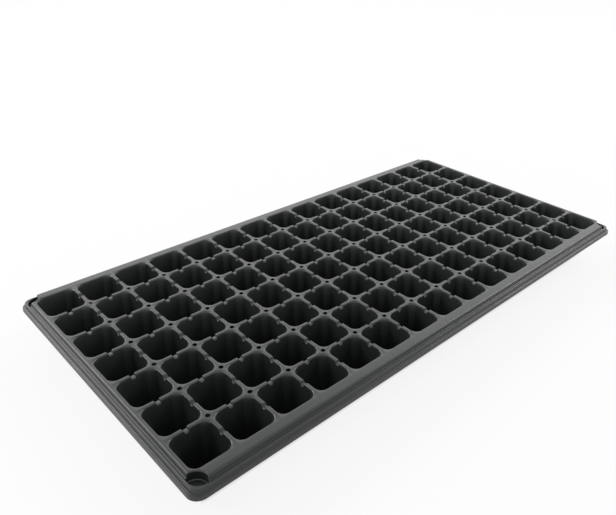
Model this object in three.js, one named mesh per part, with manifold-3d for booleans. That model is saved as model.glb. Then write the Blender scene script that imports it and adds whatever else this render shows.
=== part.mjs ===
// A 105-cell plug tray: one sheet of black polystyrene, vacuum formed into 15 by 7 tapered cells that hang
// from a flat deck, with a stepped rim round the deck.
// Millimetres, +Z up. X runs along the tray, Y across it, and the origin is under its middle, where the
// cell bottoms stand.
import * as THREE from "three";
import { ConvexGeometry } from "three/addons/geometries/ConvexGeometry.js";
import { mergeVertices } from "three/addons/utils/BufferGeometryUtils.js";
import Module from "manifold-3d";

const wasm = await Module();
wasm.setup();
const { Manifold, Mesh } = wasm;

// ---- Driving dimensions ----
const trayLength = 540; // over the skirt
const trayWidth = 280; // over the skirt
const trayHeight = 42; // deck top above the cell bottoms

const columns = 15; // cells along X
const rows = 7; // cells along Y
const columnsPerBlock = 3; // neighbouring cells of a row that share a node

const deckSheet = 0.8; // the deck and rim are hardly stretched
const cellSheet = 0.6; // the cells are drawn thinner

const endStrip = 1.5; // deck beyond the outer web centres, at the two short sides
const sideStrip = 7.125; // the same at the two long sides
const webAcross = 3.9; // deck between two neighbouring mouths of one row
const webAlong = 3.6; // deck between the mouths of two neighbouring rows
const mouthRadius = 6.8;

const bottomSize = 14; // inside the cell, at its floor
const bottomRadius = 3.5;
const drainRadius = 3.6;
const airHoleRadius = 1.9; // through the deck, where four cells meet

const upperLedge = 3.3;
const lowerLedge = 2.7;
const stepDrop = 3.7; // from the deck to the upper ledge, and from there to the lower one
const skirtDrop = 3.2; // the last wall, below the lower ledge
const rimRadius = 9; // the rim's outer corners

const pocketRadius = 9.2; // the round pocket at each corner of the deck
const pocketWeb = 0.9; // deck left between the pocket and the corner cell's mouth
const pocketBearing = 52; // degrees from X, seen from the centre of the mouth's corner
const pocketDrop = 7.4; // the pocket's floor below the deck
const pocketLip = 1.4; // what the pocket leaves of the upper ledge, all round its outer side

const mouthSteps = 2; // straight pieces in each rounded corner of a mouth
const bottomSteps = 1; // the same at a cell's floor
const roundSteps = 4; // straight pieces in a quarter of the rim's corners and of a pocket
const holeSides = 6;
const past = 1; // how far a cutting solid runs past the face that it cuts

// ---- Sizes worked out from them ----
const rimRun = upperLedge + lowerLedge;
const pitchX = (trayLength - 2 * (rimRun + endStrip)) / columns;
const pitchY = (trayWidth - 2 * (rimRun + sideStrip)) / rows;
const gridX = (columns * pitchX) / 2; // the outer web centres
const gridY = (rows * pitchY) / 2;
const columnLine = (i) => (i - columns / 2) * pitchX;
const rowLine = (j) => (j - rows / 2) * pitchY;

// ---- Solids ----
function solid(geometry) {
  geometry.deleteAttribute("normal");
  geometry.deleteAttribute("uv");
  const merged = mergeVertices(geometry, 1e-4);
  return new Manifold(
    new Mesh({
      numProp: 3,
      vertProperties: merged.attributes.position.array,
      triVerts: new Uint32Array(merged.index.array),
    }),
  );
}

function roundedRectangle(halfX, halfY, radius) {
  const [x, y] = [halfX - radius, halfY - radius];
  const shape = new THREE.Shape();
  shape.absarc(x, y, radius, 0, Math.PI / 2);
  shape.absarc(-x, y, radius, Math.PI / 2, Math.PI);
  shape.absarc(-x, -y, radius, Math.PI, 1.5 * Math.PI);
  shape.absarc(x, -y, radius, 1.5 * Math.PI, 2 * Math.PI);
  return shape;
}

function slab(shape, low, high, steps) {
  const geometry = new THREE.ExtrudeGeometry(shape, {
    depth: high - low,
    bevelEnabled: false,
    curveSegments: steps / 2,
  });
  return solid(geometry.translate(0, 0, low));
}

// A tapered plug with rounded corners, between a lower outline and an upper one.
function taperedPlug(lower, upper) {
  const points = [lower, upper].flatMap(({ halfX, halfY, radius, z, steps }) =>
    roundedRectangle(halfX, halfY, radius)
      .getPoints(steps / 2) // three.js draws two straight pieces for each division of an arc
      .map((p) => new THREE.Vector3(p.x, p.y, z)),
  );
  return solid(new ConvexGeometry(points));
}

function post(x, y, radius, low, high, sides) {
  const geometry = new THREE.CylinderGeometry(radius, radius, high - low, sides);
  return solid(geometry.rotateX(Math.PI / 2).translate(x, y, (low + high) / 2));
}

// ---- The rim ----
// The tray's outline, moved out by `out` from the edge of the deck.
const outline = (out) =>
  roundedRectangle(gridX + endStrip + out, gridY + sideStrip + out, rimRadius - rimRun + out);

// A pocket's centre stands off the rounded corner of the corner cell's mouth.
function pocketPlaces() {
  const bearing = THREE.MathUtils.degToRad(pocketBearing);
  const reach = mouthRadius + pocketWeb + pocketRadius;
  const x = gridX - webAcross / 2 - mouthRadius + reach * Math.cos(bearing);
  const y = gridY - webAlong / 2 - mouthRadius + reach * Math.sin(bearing);
  return [
    [x, y],
    [-x, y],
    [-x, -y],
    [x, -y],
  ];
}

// The space of the four pockets, with its walls and its floor moved out by `grow`.
function pockets(grow) {
  const floor = trayHeight - pocketDrop - grow;
  const wells = pocketPlaces().map(([x, y]) =>
    post(x, y, pocketRadius + grow, floor, trayHeight + past, 4 * roundSteps),
  );
  const withinLip = slab(outline(upperLedge - pocketLip + grow), floor, trayHeight + past, roundSteps);
  return Manifold.union(wells).intersect(withinLip);
}

// The deck and the two ledges as a stepped mound, with every face moved in by `inset`. The sheet is what
// lies between the mound and the same mound moved in by the sheet's thickness.
function mound(inset, base) {
  const steps = [0, upperLedge, rimRun].map((out, step) =>
    slab(outline(out - inset), base, trayHeight - step * stepDrop - inset, roundSteps),
  );
  return Manifold.union(steps).subtract(pockets(inset));
}

// ---- The cells ----
// The space of one cell, every wall moved out by `outset`, from `low` up to `high`.
function cellSpace(outset, low, high) {
  const section = (z, steps) => {
    const rise = (z - cellSheet) / (trayHeight - cellSheet);
    const across = (mouth, bottom) => THREE.MathUtils.lerp(bottom, mouth, rise);
    return {
      halfX: across(pitchX - webAcross, bottomSize) / 2 + outset,
      halfY: across(pitchY - webAlong, bottomSize) / 2 + outset,
      radius: across(mouthRadius, bottomRadius) + outset,
      z,
      steps,
    };
  };
  return taperedPlug(section(low, bottomSteps), section(high, mouthSteps));
}

const everyCell = [];
for (let i = 0; i < columns; i++) {
  for (let j = 0; j < rows; j++) {
    everyCell.push([columnLine(i + 0.5), rowLine(j + 0.5)]);
  }
}
const everyCrossing = [];
for (let i = 1; i < columns; i++) {
  for (let j = 1; j < rows; j++) {
    everyCrossing.push([columnLine(i), rowLine(j)]);
  }
}

const copies = (piece, places) => Manifold.union(places.map(([x, y]) => piece.translate([x, y, 0])));

function formedSheet() {
  const rimBase = trayHeight - 2 * stepDrop - skirtDrop;
  const rim = mound(0, rimBase).subtract(mound(deckSheet, rimBase - past));
  const cups = copies(cellSpace(cellSheet, 0, trayHeight - deckSheet / 2), everyCell);
  const hollows = copies(cellSpace(0, cellSheet, trayHeight + past), everyCell);
  const drains = copies(post(0, 0, drainRadius, -past, 2 * past, holeSides), everyCell);
  const airHoles = copies(
    post(0, 0, airHoleRadius, trayHeight - 2 * deckSheet, trayHeight + past, holeSides),
    everyCrossing,
  );
  return rim.add(cups).subtract(Manifold.union([hollows, drains, airHoles]));
}

// ---- The nodes ----
// The sheet is parted along the middles of its webs, so the nodes meet face to face.
const sheet = formedSheet();

function region(x0, x1, y0, y1) {
  const box = new THREE.BoxGeometry(x1 - x0, y1 - y0, trayHeight + 2 * past);
  box.translate((x0 + x1) / 2, (y0 + y1) / 2, trayHeight / 2);
  return sheet.intersect(solid(box));
}

function node(name, piece, color) {
  const { vertProperties, triVerts } = piece.getMesh();
  const geometry = new THREE.BufferGeometry();
  geometry.setAttribute("position", new THREE.BufferAttribute(vertProperties, 3));
  geometry.setIndex(new THREE.BufferAttribute(triVerts, 1));
  geometry.computeVertexNormals();
  const material = new THREE.MeshStandardMaterial({ color, roughness: 0.45, metalness: 0 });
  const mesh = new THREE.Mesh(geometry, material);
  mesh.name = name;
  return mesh;
}

const outX = trayLength / 2 + past;
const outY = trayWidth / 2 + past;
const black = 0x2d2e2f;

function rimNodes() {
  const rim = new THREE.Group();
  rim.add(
    node("rim_left", region(-outX, -gridX, -gridY, gridY), black),
    node("rim_right", region(gridX, outX, -gridY, gridY), black),
    node("corner_front_left", region(-outX, -gridX, -outY, -gridY), black),
    node("corner_front_right", region(gridX, outX, -outY, -gridY), black),
    node("corner_back_left", region(-outX, -gridX, gridY, outY), black),
    node("corner_back_right", region(gridX, outX, gridY, outY), black),
  );
  for (let i = 0; i < columns; i += columnsPerBlock) {
    const last = Math.min(i + columnsPerBlock, columns);
    const [x0, x1, name] = [columnLine(i), columnLine(last), `columns_${i + 1}_to_${last}`];
    rim.add(
      node(`rim_front_${name}`, region(x0, x1, -outY, -gridY), black),
      node(`rim_back_${name}`, region(x0, x1, gridY, outY), black),
    );
  }
  return rim;
}

function cellNodes() {
  const cells = new THREE.Group();
  for (let j = 0; j < rows; j++) {
    for (let i = 0; i < columns; i += columnsPerBlock) {
      const last = Math.min(i + columnsPerBlock, columns);
      const block = region(columnLine(i), columnLine(last), rowLine(j), rowLine(j + 1));
      cells.add(node(`cells_row_${j + 1}_columns_${i + 1}_to_${last}`, block, black));
    }
  }
  return cells;
}

const plugTray = new THREE.Group();
plugTray.name = "plug_tray";
plugTray.add(rimNodes(), cellNodes());
export default plugTray;
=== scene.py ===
# %% [markdown]
# # A plug tray
# A plug tray is one sheet of black polystyrene, heated and drawn by vacuum over a form. It has 15 by 7
# tapered cells that hang from a flat deck, a round drain hole in each cell's floor, a small air hole where
# four cells meet, a notch across the middle of each web between two cells, and a rim that steps down
# twice and ends in a short skirt. A round pocket is sunk into each corner of the rim.
#
# One cell is modelled as a face that is extruded down and opened, and then repeated. The rim is
# modelled from its outline inwards. The two are joined into one open sheet, which gets its thickness last,
# as the real sheet has it everywhere.

# %% Load the imported model
import math

import bmesh
import bpy
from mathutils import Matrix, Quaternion, Vector


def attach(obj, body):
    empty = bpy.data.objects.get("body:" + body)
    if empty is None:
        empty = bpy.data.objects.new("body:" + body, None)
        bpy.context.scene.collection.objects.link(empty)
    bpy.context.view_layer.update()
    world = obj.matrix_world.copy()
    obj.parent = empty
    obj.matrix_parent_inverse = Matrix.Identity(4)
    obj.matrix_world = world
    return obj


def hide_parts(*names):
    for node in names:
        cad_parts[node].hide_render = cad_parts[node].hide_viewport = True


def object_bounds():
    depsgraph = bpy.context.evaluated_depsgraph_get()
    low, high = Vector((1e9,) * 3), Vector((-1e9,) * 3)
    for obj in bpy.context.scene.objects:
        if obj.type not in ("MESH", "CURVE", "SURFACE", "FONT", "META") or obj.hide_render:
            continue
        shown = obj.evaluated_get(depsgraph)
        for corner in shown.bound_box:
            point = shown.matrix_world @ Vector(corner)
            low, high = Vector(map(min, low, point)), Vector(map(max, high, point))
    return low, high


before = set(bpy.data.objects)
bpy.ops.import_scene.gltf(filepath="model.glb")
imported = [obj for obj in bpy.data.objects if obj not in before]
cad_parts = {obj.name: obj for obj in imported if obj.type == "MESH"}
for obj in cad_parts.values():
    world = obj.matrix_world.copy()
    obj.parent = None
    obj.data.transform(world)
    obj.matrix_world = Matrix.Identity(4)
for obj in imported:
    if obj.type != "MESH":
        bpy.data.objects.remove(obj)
cad_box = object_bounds()
print("packed nodes:", len(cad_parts))

# %% [markdown]
# ## The sizes
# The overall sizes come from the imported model's box. The rest are the sizes of the forming tool, in
# metres, each written once. Two neighbouring cells share a web, so a cell's module is one pitch wide and
# ends at the middle of its webs.

# %% The sizes of the tray
MM = 0.001
SMALL = 0.01 * MM  # two points nearer than this are the same point

low, high = cad_box
length, width = high.x - low.x, high.y - low.y
middle_x, middle_y = (low.x + high.x) / 2, (low.y + high.y) / 2

columns, rows = 15, 7
rim_run = 6 * MM  # from the skirt's lower edge in to the edge of the deck
end_strip, side_strip = 1.5 * MM, 7.125 * MM  # deck between the rim and the outer web centres
pitch_x = (length - 2 * (rim_run + end_strip)) / columns
pitch_y = (width - 2 * (rim_run + side_strip)) / rows
grid_x, grid_y = columns * pitch_x / 2, rows * pitch_y / 2  # from the middle to the outer web centres
print(f"one cell every {pitch_x / MM:.2f} by {pitch_y / MM:.2f} mm")

# %% [markdown]
# ## Select by place
# Blender's operators act on what is selected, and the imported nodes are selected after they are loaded. So
# every step first selects what it works on, by its place and not by its number, and nothing else.

# %% Select objects, and parts of a mesh
def only(*pieces):
    """Selects these objects and nothing else. The first is the active one."""
    bpy.ops.object.select_all(action="DESELECT")
    for piece in pieces:
        piece.select_set(True)
    bpy.context.view_layer.objects.active = pieces[0]


def edit(piece):
    only(piece)
    bpy.ops.object.mode_set(mode="EDIT")


def done():
    bpy.ops.object.mode_set(mode="OBJECT")


def choose(kind, test, boundary=False):
    """In edit mode, selects the vertices, edges or faces whose middle passes the test, and nothing else.

    With `boundary`, it takes only what lies on an open edge of the mesh.
    """
    bpy.ops.mesh.select_mode(type=kind)
    bpy.ops.mesh.select_all(action="DESELECT")
    mesh = bpy.context.object.data
    shape = bmesh.from_edit_mesh(mesh)
    chosen = []
    for part in {"VERT": shape.verts, "EDGE": shape.edges, "FACE": shape.faces}[kind]:
        corners = [part.co] if kind == "VERT" else [vertex.co for vertex in part.verts]
        middle = sum(corners, Vector()) / len(corners)
        if test(middle) and (not boundary or part.is_boundary):
            chosen.append(part)
    for part in chosen:
        part.select_set(True)
    shape.select_flush_mode()
    bmesh.update_edit_mesh(mesh)
    return len(chosen)


def on_deck(at):
    return at.z > high.z - SMALL


# %% [markdown]
# Most outlines on the tray are rectangles with round corners. A plane is added at its size and place, its
# place is applied so that it lies in the mesh, and its four corners are rounded by a vertex bevel.

# %% A rounded rectangle, as one face
def rounded_plate(name, x, y, z, size_x, size_y, radius, steps):
    bpy.ops.object.select_all(action="DESELECT")
    bpy.ops.mesh.primitive_plane_add(size=1, location=(x, y, z))
    plate = bpy.context.object
    plate.name = plate.data.name = name
    plate.scale = (size_x, size_y, 1)
    bpy.ops.object.transform_apply(location=True, rotation=True, scale=True)
    edit(plate)
    bpy.ops.mesh.select_all(action="SELECT")
    bpy.ops.mesh.bevel(offset=radius, segments=steps, affect="VERTICES")
    done()
    return plate


# %% [markdown]
# ## One cell
# A cell is drawn down from its mouth to a small rounded square floor, so its walls lean in and the plug
# slides out. Its mouth has a small round edge, which catches the light, and its floor has a larger one.
# The face of the mouth is extruded down and scaled at each level. The floor is then taken off, a circle is
# added in its place, and the ring between the two is filled, which leaves a round drain hole.

# %% The sizes of a cell
web_across, web_along = 3.1 * MM, 3.0 * MM  # deck between the mouths of a row, and between two rows
mouth_x, mouth_y = pitch_x - web_across, pitch_y - web_along
mouth_radius = 7.4 * MM
mouth_rounding = 1.05 * MM  # how far the mouth's round edge runs on to the deck and down the wall
floor_size = 14 * MM
floor_rounding = 2.2 * MM
drain_radius = 3.6 * MM
cell_sheet = 0.6 * MM
cell_floor = low.z + cell_sheet  # the inner face of the floor
notch_band = 4 * MM  # the strip of wall under the mouth that the notches reach into
MOUTH_CORNER_STEPS, DRAIN_STEPS = 6, 18  # straight pieces in a mouth's corner, and round a drain hole
MOUTH_STEPS, FLOOR_STEPS = 2, 2  # flat pieces across the two round edges

cell_depth = high.z - cell_floor
lean_x = (mouth_x - floor_size) / 2 / cell_depth  # how far a wall comes in for each metre that it goes down
lean_y = (mouth_y - floor_size) / 2 / cell_depth
print(f"one mouth is {mouth_x / MM:.2f} by {mouth_y / MM:.2f} mm")


# %% The cup: walls, floor and drain hole
def model_cup(name, x, y):
    def on_floor(at):
        return at.z < cell_floor + SMALL

    cup = rounded_plate(name, x, y, high.z, mouth_x, mouth_y, mouth_radius, MOUTH_CORNER_STEPS)
    edit(cup)
    bpy.ops.mesh.select_all(action="SELECT")
    size_x, size_y = mouth_x, mouth_y
    for drop in (notch_band, cell_depth - notch_band):
        bpy.ops.mesh.extrude_region_move(TRANSFORM_OT_translate={"value": (0, 0, -drop)})
        next_x, next_y = size_x - 2 * lean_x * drop, size_y - 2 * lean_y * drop
        bpy.ops.transform.resize(value=(next_x / size_x, next_y / size_y, 1), center_override=(x, y, 0))
        size_x, size_y = next_x, next_y
    bpy.ops.mesh.region_to_loop()
    bpy.ops.mesh.bevel(offset=floor_rounding, segments=FLOOR_STEPS, affect="EDGES")
    choose("FACE", on_floor)
    bpy.ops.mesh.delete(type="ONLY_FACE")
    bpy.ops.mesh.primitive_circle_add(vertices=DRAIN_STEPS, radius=drain_radius, location=(x, y, cell_floor))
    choose("EDGE", on_floor)
    bpy.ops.mesh.fill(use_beauty=True)
    done()
    return cup


# %% [markdown]
# The face of the mouth is still there as a lid, so it is taken off first. The deck round the mouth then
# grows out of the mouth's own outline: its edges are extruded outwards, and the points of each rounded
# corner are drawn together in the corner of the module. That leaves a fan of flat faces at each corner and
# one wide face on each side. The mouth's edge is rounded last, by a bevel.

# %% The deck round a mouth
WIDER = 1.2  # any growth that sets the new outline apart from the old one


def add_deck(cup, x, y):
    def at_mouth(at):
        inside = abs(at.x - x) < mouth_x / 2 + SMALL and abs(at.y - y) < mouth_y / 2 + SMALL
        return on_deck(at) and inside

    edit(cup)
    choose("FACE", on_deck)
    bpy.ops.mesh.delete(type="ONLY_FACE")
    choose("EDGE", on_deck)
    bpy.ops.mesh.extrude_edges_move()
    bpy.ops.transform.resize(value=(WIDER, WIDER, 1), center_override=(x, y, high.z))
    for to_x in (-1, 1):
        for to_y in (-1, 1):

            def outer_corner(at):
                in_quarter = (at.x - x) * to_x > 0 and (at.y - y) * to_y > 0
                return on_deck(at) and in_quarter and not at_mouth(at)

            choose("VERT", outer_corner)
            module_corner = (x + to_x * pitch_x / 2, y + to_y * pitch_y / 2, high.z)
            bpy.ops.transform.resize(value=(0, 0, 1), center_override=module_corner)
    bpy.ops.mesh.select_all(action="SELECT")
    bpy.ops.mesh.remove_doubles(threshold=SMALL)
    choose("VERT", at_mouth)
    bpy.ops.mesh.select_mode(type="EDGE")
    bpy.ops.mesh.bevel(offset=mouth_rounding, segments=MOUTH_STEPS, affect="EDGES")
    done()


# %% [markdown]
# A notch lets air and water pass from cell to cell. It is a soft U across the middle of the web. Its lines
# are cut with bisect, and the points on each line are then lowered. Those on the cell's side also move in
# by as much as the wall leans, so that the wall stays flat under the notch.

# %% A notch across a web
SIDES = {"left": (-1, 0), "right": (1, 0), "front": (0, -1), "back": (0, 1)}
NOTCH = [  # how far a line is from the notch's middle, and how far its points are lowered
    (0.8 * MM, 2.4 * MM),
    (1.45 * MM, 2.0 * MM),
    (2.0 * MM, 0.7 * MM),
    (2.5 * MM, 0.0),
]


def cut_notch(cup, x, y, side):
    dx, dy = SIDES[side]
    half_pitch = (pitch_x if dx else pitch_y) / 2
    lean = lean_x if dx else lean_y
    wall = (mouth_x if dx else mouth_y) / 2 - 2 * lean * notch_band  # a little inside this side's wall
    straight = (mouth_y if dx else mouth_x) / 2 - mouth_radius  # half the straight part of the mouth

    def out(at):
        return (at.x - x) * dx + (at.y - y) * dy

    def along(at):
        return (at.y - y) if dx else (at.x - x)

    def in_band(at):
        return at.z > high.z - notch_band + SMALL and out(at) > wall

    def on_line(at, place):
        return in_band(at) and abs(abs(along(at)) - place) < SMALL

    edit(cup)
    for place, _ in NOTCH:
        for line in (-place, place):
            choose("FACE", lambda at: in_band(at) and abs(along(at)) < straight)
            on_plane = (x + line * abs(dy), y + line * abs(dx), 0)
            bpy.ops.mesh.bisect(plane_co=on_plane, plane_no=(abs(dy), abs(dx), 0))
    for place, depth in NOTCH:
        choose("VERT", lambda at: on_line(at, place) and out(at) < half_pitch - SMALL)
        bpy.ops.transform.translate(value=(-dx * lean * depth, -dy * lean * depth, -depth))
        choose("VERT", lambda at: on_line(at, place) and out(at) > half_pitch - SMALL)
        bpy.ops.transform.translate(value=(0, 0, -depth))
    done()


# %% [markdown]
# ## All the cells
# A cell has a notch towards each neighbour and none towards the rim, so there are four kinds: inside the
# grid, along an end, along a side, and at a corner. Each kind is modelled once, repeated by an Array
# modifier, and mirrored to the other side of the tray.

# %% Repeat and mirror a piece
def apply_modifier(piece, kind, **settings):
    only(piece)
    bpy.ops.object.modifier_add(type=kind)
    modifier = piece.modifiers[-1]
    for name, value in settings.items():
        setattr(modifier, name, value)
    bpy.ops.object.modifier_apply(modifier=modifier.name)


def repeat(piece, count, step):
    apply_modifier(
        piece,
        "ARRAY",
        count=count,
        use_relative_offset=False,
        use_constant_offset=True,
        constant_offset_displace=step,
    )


def mirror(piece, across_x, across_y):
    apply_modifier(piece, "MIRROR", use_axis=(across_x, across_y, False), use_mirror_merge=False)


# %% The four kinds of cell
def model_cell(name, column, row, neighbours):
    x = middle_x - grid_x + (column - 0.5) * pitch_x
    y = middle_y - grid_y + (row - 0.5) * pitch_y
    cell = model_cup(name, x, y)
    add_deck(cell, x, y)
    for side in sorted(neighbours):
        cut_notch(cell, x, y, side)
    print(name, "cell:", len(cell.data.polygons), "faces")
    return cell


inner = model_cell("inner", column=2, row=2, neighbours={"left", "right", "front", "back"})
repeat(inner, columns - 2, (pitch_x, 0, 0))
repeat(inner, rows - 2, (0, pitch_y, 0))

end = model_cell("end", column=1, row=2, neighbours={"right", "front", "back"})
repeat(end, rows - 2, (0, pitch_y, 0))
mirror(end, True, False)

side = model_cell("side", column=2, row=1, neighbours={"left", "right", "back"})
repeat(side, columns - 2, (pitch_x, 0, 0))
mirror(side, False, True)

# %% [markdown]
# The corner cell's deck on its two outer sides is left off, because the round pocket in the tray's corner
# cuts into it. The deck there is filled in later, up to the pocket's edge.

# %% The corner cell, without its outer deck
corner = model_cell("corner", column=1, row=1, neighbours={"right", "back"})
mouth_left = middle_x - grid_x + web_across / 2
mouth_front = middle_y - grid_y + web_along / 2


def outer_deck(at):
    at_corner = at.x < mouth_left + mouth_radius and at.y < mouth_front + mouth_radius
    return on_deck(at) and (at.x < mouth_left or at.y < mouth_front or at_corner)


edit(corner)
print("deck faces left off:", choose("FACE", outer_deck))
bpy.ops.mesh.delete(type="FACE")
done()
mirror(corner, True, True)

# %% [markdown]
# ## The rim
# The rim is a mound in steps: skirt, lower ledge, wall, upper ledge, wall, deck. It starts as the outline
# of the skirt's lower edge, and each step is an inset, with a height where it is a wall. An even inset
# takes the same width off all round, so the corners get tighter towards the deck, as on the real rim. The
# walls lean in a little, because a form without draft would not let go of the sheet.

# %% The stepped mound
rim_radius = 9 * MM
skirt_height, step_height = 3.2 * MM, 3.7 * MM
lower_ledge, upper_ledge = 1.8 * MM, 2.5 * MM
draft = 0.7 * MM  # what a wall comes in over its height
skirt_draft = rim_run - lower_ledge - upper_ledge - 2 * draft
skirt_foot = high.z - 2 * step_height - skirt_height
RIM_CORNER_STEPS = 8

rim = rounded_plate("rim", middle_x, middle_y, skirt_foot, length, width, rim_radius, RIM_CORNER_STEPS)
edit(rim)
bpy.ops.mesh.select_all(action="SELECT")
for inwards, up in [
    (skirt_draft, skirt_height),
    (lower_ledge, 0),
    (draft, step_height),
    (upper_ledge, 0),
    (draft, step_height),
]:
    bpy.ops.mesh.inset(thickness=inwards, depth=up, use_even_offset=True)
done()
print("mound:", len(rim.data.polygons), "faces")

# %% [markdown]
# A formed sheet has no sharp edge, and the edge of the deck is the roundest. It is bevelled first, from the
# outline of the top face. The others are rounded by a Bevel modifier, which takes every edge that turns by
# more than 30 degrees.

# %% Round edges
deck_rounding, step_rounding = 1.0 * MM, 0.55 * MM
DECK_STEPS, STEP_STEPS = 3, 2
SHARP_TURN = math.radians(30)

edit(rim)
choose("FACE", on_deck)
bpy.ops.mesh.region_to_loop()
bpy.ops.mesh.bevel(offset=deck_rounding, segments=DECK_STEPS, affect="EDGES")
done()
apply_modifier(
    rim, "BEVEL", width=step_rounding, segments=STEP_STEPS, limit_method="ANGLE", angle_limit=SHARP_TURN
)
print("mound with round edges:", len(rim.data.polygons), "faces")

# %% [markdown]
# A round pocket is sunk into each corner, from the deck to the level of the lower ledge. On its outer side
# it stops short of the upper ledge's edge and leaves a lip. A boolean takes its shape out of the mound.
# Rounding the cut edge afterwards would fold over where it crosses the steps, so the cutting shape has the
# round edges already: it flares where it leaves the deck and the ledge, and its floor is bevelled.

# %% A shape that flares where it leaves a surface
FLARE = [  # out and up, in shares of the rounding: two steps round a quarter circle, and one just past it
    (0.134, 0.5),
    (0.5, 0.866),
    (1.1, 1.05),
]


def extrude_up(x, y, from_size, to_size, up):
    """In edit mode, extrudes the chosen face up and gives it a new size in x and in y."""
    bpy.ops.mesh.extrude_region_move(TRANSFORM_OT_translate={"value": (0, 0, up)})
    to_x, to_y = to_size[0] / from_size[0], to_size[1] / from_size[1]
    bpy.ops.transform.resize(value=(to_x, to_y, 1), center_override=(x, y, 0))


def raise_with_flare(shape, x, y, size, bottom, surface, top, rounding):
    """Extrudes the face at the bottom of a shape up to a surface, out in a flare, and on to the top."""
    edit(shape)
    choose("FACE", lambda at: at.z > bottom - SMALL)
    extrude_up(x, y, size, size, surface - rounding - bottom)
    last, last_up = size, 0.0
    for out, up in FLARE:
        wider = [side + 2 * out * rounding for side in size]
        extrude_up(x, y, last, wider, (up - last_up) * rounding)
        last, last_up = wider, up
    extrude_up(x, y, last, last, top - surface - (last_up - 1) * rounding)
    bpy.ops.mesh.select_all(action="SELECT")
    bpy.ops.mesh.normals_make_consistent(inside=False)
    done()


# %% [markdown]
# The pocket's shape is a round post, cut off by a large rounded plate where the lip begins. Both are made
# with a flare, and what they have in common is the pocket. Its centre stands off the rounded corner of the
# corner cell's mouth, so that a strip of deck is left between the two.

# %% The sizes of a pocket
pocket_radius = 9.0 * MM
pocket_web = 2.2 * MM  # deck left between the pocket and the mouth of the corner cell
pocket_bearing = math.radians(54)  # from the centre of the mouth's rounded corner, up from the x axis
pocket_lip, lip_radius = 1.5 * MM, 9 * MM
pocket_rounding, lip_rounding = 0.9 * MM, 0.5 * MM
lip_reach = draft + upper_ledge - pocket_lip  # from the edge of the deck out to the lip's inner side
pocket_floor = high.z - 2 * step_height
ledge_top = high.z - step_height
clearance = 3 * MM  # how far a cutting shape runs past what it cuts
POCKET_STEPS, LIP_CORNER_STEPS, POCKET_FLOOR_STEPS = 40, 12, 3

stand_off = mouth_radius + pocket_web + pocket_radius
pocket_x = middle_x + grid_x - web_across / 2 - mouth_radius + stand_off * math.cos(pocket_bearing)
pocket_y = middle_y + grid_y - web_along / 2 - mouth_radius + stand_off * math.sin(pocket_bearing)
from_side_x, from_side_y = (high.x - pocket_x) / MM, (high.y - pocket_y) / MM
print(f"pocket centre {from_side_x:.1f} and {from_side_y:.1f} mm inside the outline")

# %% The corner pockets
bpy.ops.object.select_all(action="DESELECT")
bpy.ops.mesh.primitive_circle_add(
    vertices=POCKET_STEPS, radius=pocket_radius, fill_type="NGON", location=(pocket_x, pocket_y, pocket_floor)
)
pocket = bpy.context.object
bpy.ops.object.transform_apply(location=True)
across = (2 * pocket_radius, 2 * pocket_radius)
raise_with_flare(
    pocket, pocket_x, pocket_y, across, pocket_floor, high.z, high.z + clearance, pocket_rounding
)

lip_bottom = pocket_floor - clearance
lip_size = (length - 2 * (rim_run - lip_reach), width - 2 * (rim_run - lip_reach))
lip = rounded_plate("lip", middle_x, middle_y, lip_bottom, *lip_size, lip_radius, LIP_CORNER_STEPS)
raise_with_flare(
    lip, middle_x, middle_y, lip_size, lip_bottom, ledge_top, high.z + 2 * clearance, lip_rounding
)
apply_modifier(pocket, "BOOLEAN", operation="INTERSECT", solver="EXACT", object=lip)
edit(pocket)
choose("FACE", lambda at: at.z < pocket_floor + SMALL)
bpy.ops.mesh.region_to_loop()
bpy.ops.mesh.bevel(offset=pocket_rounding, segments=POCKET_FLOOR_STEPS, affect="EDGES")
done()
mirror(pocket, True, True)
print("pockets:", len(pocket.data.polygons), "faces")

# %% [markdown]
# The boolean needs a closed mound, so its foot is closed with one face. Afterwards that face and the top
# face go again, and only the stepped skin of the rim is left.

# %% Cut the pockets, and open the mound
edit(rim)
choose("EDGE", lambda at: at.z < skirt_foot + SMALL)
bpy.ops.mesh.edge_face_add()
done()
apply_modifier(rim, "BOOLEAN", operation="DIFFERENCE", solver="EXACT", object=pocket)
bpy.data.objects.remove(lip)
bpy.data.objects.remove(pocket)
edit(rim)
choose("FACE", lambda at: at.z < skirt_foot + SMALL or on_deck(at))
bpy.ops.mesh.delete(type="FACE")
done()
print("rim with pockets:", len(rim.data.polygons), "faces")

# %% [markdown]
# ## One sheet
# The cells and the rim are joined, the points that fall together are merged, and the strip of deck
# between them is filled. An open sheet has no inside, so the operator that makes its faces agree may turn
# them all down, and the deck's own faces tell whether it did.

# %% Join the cells and the rim
only(inner, end, side, corner, rim)
bpy.ops.object.join()
tray = inner
tray.name = tray.data.name = "formed_tray"
edit(tray)
bpy.ops.mesh.select_all(action="SELECT")
bpy.ops.mesh.remove_doubles(threshold=SMALL)
print("edges round the open deck:", choose("EDGE", on_deck, boundary=True))
bpy.ops.mesh.fill(use_beauty=True)
bpy.ops.mesh.select_all(action="SELECT")
bpy.ops.mesh.normals_make_consistent(inside=False)
choose("FACE", on_deck)
faces_up = [face.normal.z > 0 for face in bmesh.from_edit_mesh(tray.data).faces if face.select]
print("deck faces that face up:", sum(faces_up), "of", len(faces_up))
if sum(faces_up) < len(faces_up) / 2:
    bpy.ops.mesh.select_all(action="SELECT")
    bpy.ops.mesh.flip_normals()
done()

# %% [markdown]
# An air hole goes through the deck where four cells meet. All the edges of the four corner fans end in
# that point, so a bevel of the point alone puts a new point on each of them, all as far from the middle.
# That is a circle, and its face is deleted.

# %% The air holes
air_radius = 1.9 * MM


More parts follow.
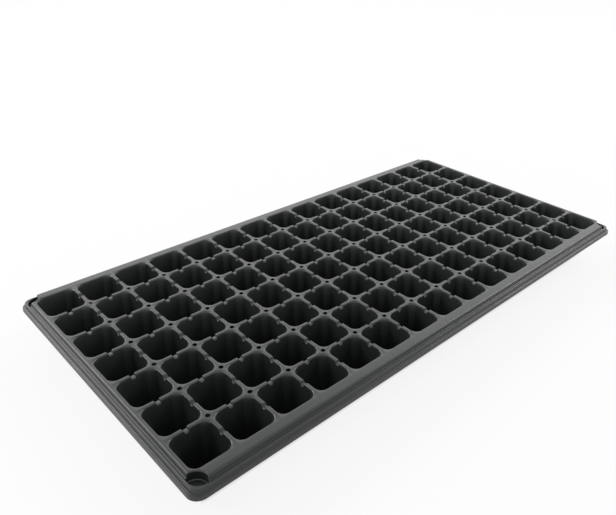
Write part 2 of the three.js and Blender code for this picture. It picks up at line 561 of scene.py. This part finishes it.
def nearest_crossing(at):
    column = min(max(round((at.x - middle_x + grid_x) / pitch_x), 1), columns - 1)
    row = min(max(round((at.y - middle_y + grid_y) / pitch_y), 1), rows - 1)
    return Vector((middle_x - grid_x + column * pitch_x, middle_y - grid_y + row * pitch_y, high.z))


edit(tray)
crossings = choose("VERT", lambda at: (at - nearest_crossing(at)).length < SMALL)
bpy.ops.mesh.bevel(offset=air_radius, segments=1, affect="VERTICES")
holes = choose("FACE", lambda at: (at - nearest_crossing(at)).length < air_radius / 2)
bpy.ops.mesh.delete(type="FACE")
done()
print("air holes:", holes, "of", crossings)

# %% [markdown]
# The sheet gets its thickness inwards from its upper face. The deck and the rim are hardly stretched by the
# forming, and the cells are drawn thinner, so a vertex group tells Solidify which is which. It moves each
# point along its own normal. Its even thickness would be more exact at the bends, but it makes long
# spikes where two round edges cross.

# %% The thickness
deck_sheet = 0.8 * MM
SMOOTH_TURN = math.radians(50)  # a sharper turn than this stays an edge


def is_thick(at):
    beyond_cells = abs(at.x - middle_x) > grid_x or abs(at.y - middle_y) > grid_y
    return beyond_cells or at.z > high.z - notch_band + SMALL


edit(tray)
choose("VERT", is_thick)
bpy.ops.object.vertex_group_add()
bpy.ops.object.vertex_group_assign()
done()
tray.vertex_groups[0].name = "deck"
apply_modifier(
    tray,
    "SOLIDIFY",
    thickness=deck_sheet,
    offset=-1,
    use_quality_normals=True,
    vertex_group="deck",
    thickness_vertex_group=cell_sheet / deck_sheet,
)
only(tray)
bpy.ops.object.shade_smooth_by_angle(angle=SMOOTH_TURN)
apply_modifier(tray, "WEIGHTED_NORMAL", keep_sharp=True)
print("formed tray:", sum(len(face.vertices) - 2 for face in tray.data.polygons), "triangles")


# %% [markdown]
# ## The material
# The sheet is high impact polystyrene, coloured through with carbon black, extruded and then vacuum
# formed. That gives the eye a satin black: almost no colour of its own, a soft wide sheen at a flat angle,
# a fine grain from the extruder's roll, and slow ripples where the sheet cooled on the form.

# %% Colours and nodes
def linear(code):
    """An sRGB hex colour as the linear values that the shader takes."""
    channels = [int(code[i : i + 2], 16) / 255 for i in (1, 3, 5)]
    return [c / 12.92 if c <= 0.04045 else ((c + 0.055) / 1.055) ** 2.4 for c in channels] + [1.0]


def per_metre(size_mm):
    """The scale of a pattern whose features are this far apart."""
    return 1 / (size_mm * MM)


def add(tree, kind, values=(), sources=(), **settings):
    """Adds a node, sets its settings and the values of its inputs, and links its inputs to their sources."""
    node = tree.nodes.new(kind)
    for name, value in settings.items():
        setattr(node, name, value)
    for name, value in dict(values).items():
        node.inputs[name].default_value = value
    for name, source in dict(sources).items():
        tree.links.new(source, node.inputs[name])
    return node


def new_material(name):
    material = bpy.data.materials.new(name)
    material.use_nodes = True
    material.node_tree.nodes.clear()
    return material, material.node_tree


# %% Vacuum formed polystyrene
COLOUR_A, COLOUR_B, MIXED_COLOUR = 6, 7, 2  # a Mix node has several inputs called A, so these are numbers


def make_polystyrene():
    material, tree = new_material("vacuum_formed_polystyrene")
    place = add(tree, "ShaderNodeTexCoord").outputs["Object"]

    # Handling and dust leave the black a little uneven over a few centimetres.
    haze = add(tree, "ShaderNodeTexNoise", {"Scale": per_metre(45), "Detail": 3.0}, {"Vector": place})
    shades = {COLOUR_A: linear("#1c1e1f"), COLOUR_B: linear("#272929")}
    colour = add(tree, "ShaderNodeMix", shades, data_type="RGBA")
    tree.links.new(haze.outputs["Fac"], colour.inputs["Factor"])

    # The roll's grain is about 0.3 mm, which is too fine to show, so it is drawn at 1.1 mm.
    grain = add(tree, "ShaderNodeTexNoise", {"Scale": per_metre(1.1), "Detail": 2.0}, {"Vector": place})
    ripple = add(tree, "ShaderNodeTexNoise", {"Scale": per_metre(22), "Detail": 1.0}, {"Vector": place})

    # Satin: the haze that lightens the black also dulls it.
    dull = add(
        tree,
        "ShaderNodeMapRange",
        {"To Min": 0.30, "To Max": 0.42},
        {"Value": haze.outputs["Fac"]},
    )
    fine = add(
        tree,
        "ShaderNodeBump",
        {"Strength": 0.12, "Distance": 0.1 * MM},
        {"Height": grain.outputs["Fac"]},
    )
    slow = add(
        tree,
        "ShaderNodeBump",
        {"Strength": 0.25, "Distance": 1.0 * MM},
        {"Height": ripple.outputs["Fac"], "Normal": fine.outputs["Normal"]},
    )
    surface = add(
        tree,
        "ShaderNodeBsdfPrincipled",
        {"IOR": 1.57},
        {
            "Base Color": colour.outputs[MIXED_COLOUR],
            "Roughness": dull.outputs["Result"],
            "Normal": slow.outputs["Normal"],
        },
    )
    add(tree, "ShaderNodeOutputMaterial", (), {"Surface": surface.outputs["BSDF"]})
    return material


polystyrene = make_polystyrene()
tray.data.materials.clear()
tray.data.materials.append(polystyrene)
print("material:", polystyrene.name)

# %% [markdown]
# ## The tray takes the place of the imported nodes
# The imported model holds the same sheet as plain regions. The one detailed tray stands for all of them.

# %% Tie the tray to the frame
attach(tray, "root")
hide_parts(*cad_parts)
print("the tray stands for", len(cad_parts), "nodes")

# %% [markdown]
# ## The floor and the room
# The tray stands on a plain white floor that runs out past the picture, in a room of even soft light. The
# white that the camera sees, and that a gloss mirrors, is chosen by the kind of ray, so that it lights
# nothing. A little of the floor stays plain paper, which takes the tray's shadow. Under the tray all of it
# does, because a white floor there would show through the holes.

# %% White that the eye and a gloss see, and that lights nothing
def show_white(tree, amount):
    """The share of plain white for a ray: `amount` if the camera or a gloss sees it, and 0 if it lights."""
    ray = add(tree, "ShaderNodeLightPath")
    seen = add(tree, "ShaderNodeMath", (), {0: ray.outputs["Is Camera Ray"]}, operation="MAXIMUM")
    tree.links.new(ray.outputs["Is Glossy Ray"], seen.inputs[1])
    through = add(tree, "ShaderNodeMath", (), {0: seen.outputs[0]}, operation="MAXIMUM")
    tree.links.new(ray.outputs["Is Transmission Ray"], through.inputs[1])
    return add(tree, "ShaderNodeMath", {1: amount}, {0: through.outputs[0]}, operation="MULTIPLY")


# %% The floor
FLOOR_SIZE = 12.0
FLOOR_WHITE = 0.88  # how much of the floor is plain white; the rest keeps the shadow
SHADE_INNER, SHADE_OUTER = -16 * MM, -8 * MM  # from the outer web centres: where white begins, and is full


def make_floor_material():
    material, tree = new_material("white_floor")
    place = add(tree, "ShaderNodeTexCoord").outputs["Object"]
    apart = add(tree, "ShaderNodeVectorMath", (), {0: place}, operation="ABSOLUTE")
    web_centres = {1: (grid_x, grid_y, 0)}
    beyond = add(tree, "ShaderNodeVectorMath", web_centres, {0: apart.outputs[0]}, operation="SUBTRACT")
    axes = add(tree, "ShaderNodeSeparateXYZ", (), {0: beyond.outputs[0]})
    both_ways = {0: axes.outputs["X"], 1: axes.outputs["Y"]}
    outmost = add(tree, "ShaderNodeMath", (), both_ways, operation="MAXIMUM")
    edges = {"From Min": SHADE_INNER, "From Max": SHADE_OUTER}
    open_floor = add(tree, "ShaderNodeMapRange", edges, {"Value": outmost.outputs[0]})

    white = show_white(tree, FLOOR_WHITE)
    shares = {0: white.outputs[0], 1: open_floor.outputs[0]}
    share = add(tree, "ShaderNodeMath", (), shares, operation="MULTIPLY")
    paper = add(tree, "ShaderNodeBsdfDiffuse", {"Color": linear("#f6f6f6")})
    glow = add(tree, "ShaderNodeEmission", {"Color": (1, 1, 1, 1), "Strength": 1.0})
    mix = add(tree, "ShaderNodeMixShader", (), {0: share.outputs[0], 1: paper.outputs[0], 2: glow.outputs[0]})
    add(tree, "ShaderNodeOutputMaterial", (), {"Surface": mix.outputs["Shader"]})
    return material


bpy.ops.object.select_all(action="DESELECT")
bpy.ops.mesh.primitive_plane_add(size=FLOOR_SIZE, location=(0, 0, low.z))
floor = bpy.context.object
floor.name = "floor"
floor.data.materials.append(make_floor_material())
print(f"floor: {FLOOR_SIZE:.0f} m square")

# %% The light of the room
ROOM_LIGHT = 0.42

world = bpy.data.worlds.new("room")
bpy.context.scene.world = world
world.use_nodes = True
sky = world.node_tree
sky.nodes.clear()
room = add(sky, "ShaderNodeBackground", {"Color": (1, 1, 1, 1), "Strength": ROOM_LIGHT})
white = add(sky, "ShaderNodeBackground", {"Color": (1, 1, 1, 1), "Strength": 1.0})
share = show_white(sky, 1.0)
mix = add(sky, "ShaderNodeMixShader", (), {0: share.outputs[0], 1: room.outputs[0], 2: white.outputs[0]})
add(sky, "ShaderNodeOutputWorld", (), {"Surface": mix.outputs["Shader"]})
print("room light:", ROOM_LIGHT)

# %% [markdown]
# ## The lamps
# A wide lamp behind the tray gives the deck its sheen at a flat angle. A small one behind on the left draws
# the bright lines on the round edges of the left rim, and a small one on the right draws those of the front
# rim.

# %% Three soft lamps
def soft_lamp(name, place, wide, tall, power):
    """A flat lamp that shines on the middle of the tray."""
    data = bpy.data.lights.new(name, "AREA")
    data.shape, data.size, data.size_y, data.energy = "RECTANGLE", wide, tall, power
    lamp = bpy.data.objects.new(name, data)
    bpy.context.scene.collection.objects.link(lamp)
    lamp.location = place
    lamp.rotation_euler = (Vector((0, 0, high.z)) - Vector(place)).to_track_quat("-Z", "Y").to_euler()
    print(f"lamp {name}: {wide} by {tall} m, {power} W")


soft_lamp("behind", place=(1.7, 1.9, 1.35), wide=5.0, tall=1.6, power=30)
soft_lamp("left", place=(-0.95, 1.55, 1.25), wide=1.1, tall=0.8, power=24)
soft_lamp("right", place=(1.75, -0.6, 1.4), wide=0.8, tall=0.7, power=17)

# %% [markdown]
# ## The camera
# The camera stands off the tray's front left corner and looks across it, at 45 degrees to its sides and 30
# degrees down. It stands so near that the front cells look much larger than the far ones. A small shift
# sideways places the tray in the frame without turning the camera.

# %% The camera
LOOK_BEARING, LOOK_DOWN, ROLL = math.radians(44.77), math.radians(29.95), math.radians(1.975)

camera_data = bpy.data.cameras.new("camera")
camera_data.lens = 36.29
camera_data.sensor_width = 36
camera_data.shift_x, camera_data.shift_y = -0.0715, 0.0024
camera = bpy.data.objects.new("camera", camera_data)
bpy.context.scene.collection.objects.link(camera)
bpy.context.scene.camera = camera

look = Vector(
    (
        math.cos(LOOK_DOWN) * math.cos(LOOK_BEARING),
        math.cos(LOOK_DOWN) * math.sin(LOOK_BEARING),
        -math.sin(LOOK_DOWN),
    )
)
camera.location = (-0.3815, -0.3760, 0.3470)
camera.rotation_mode = "QUATERNION"
camera.rotation_quaternion = look.to_track_quat("-Z", "Y") @ Quaternion((0, 0, 1), ROLL)
bpy.context.scene.view_settings.view_transform = "Standard"
print(f"camera: {camera_data.lens:.1f} mm lens, {camera.location.z / MM:.0f} mm up")
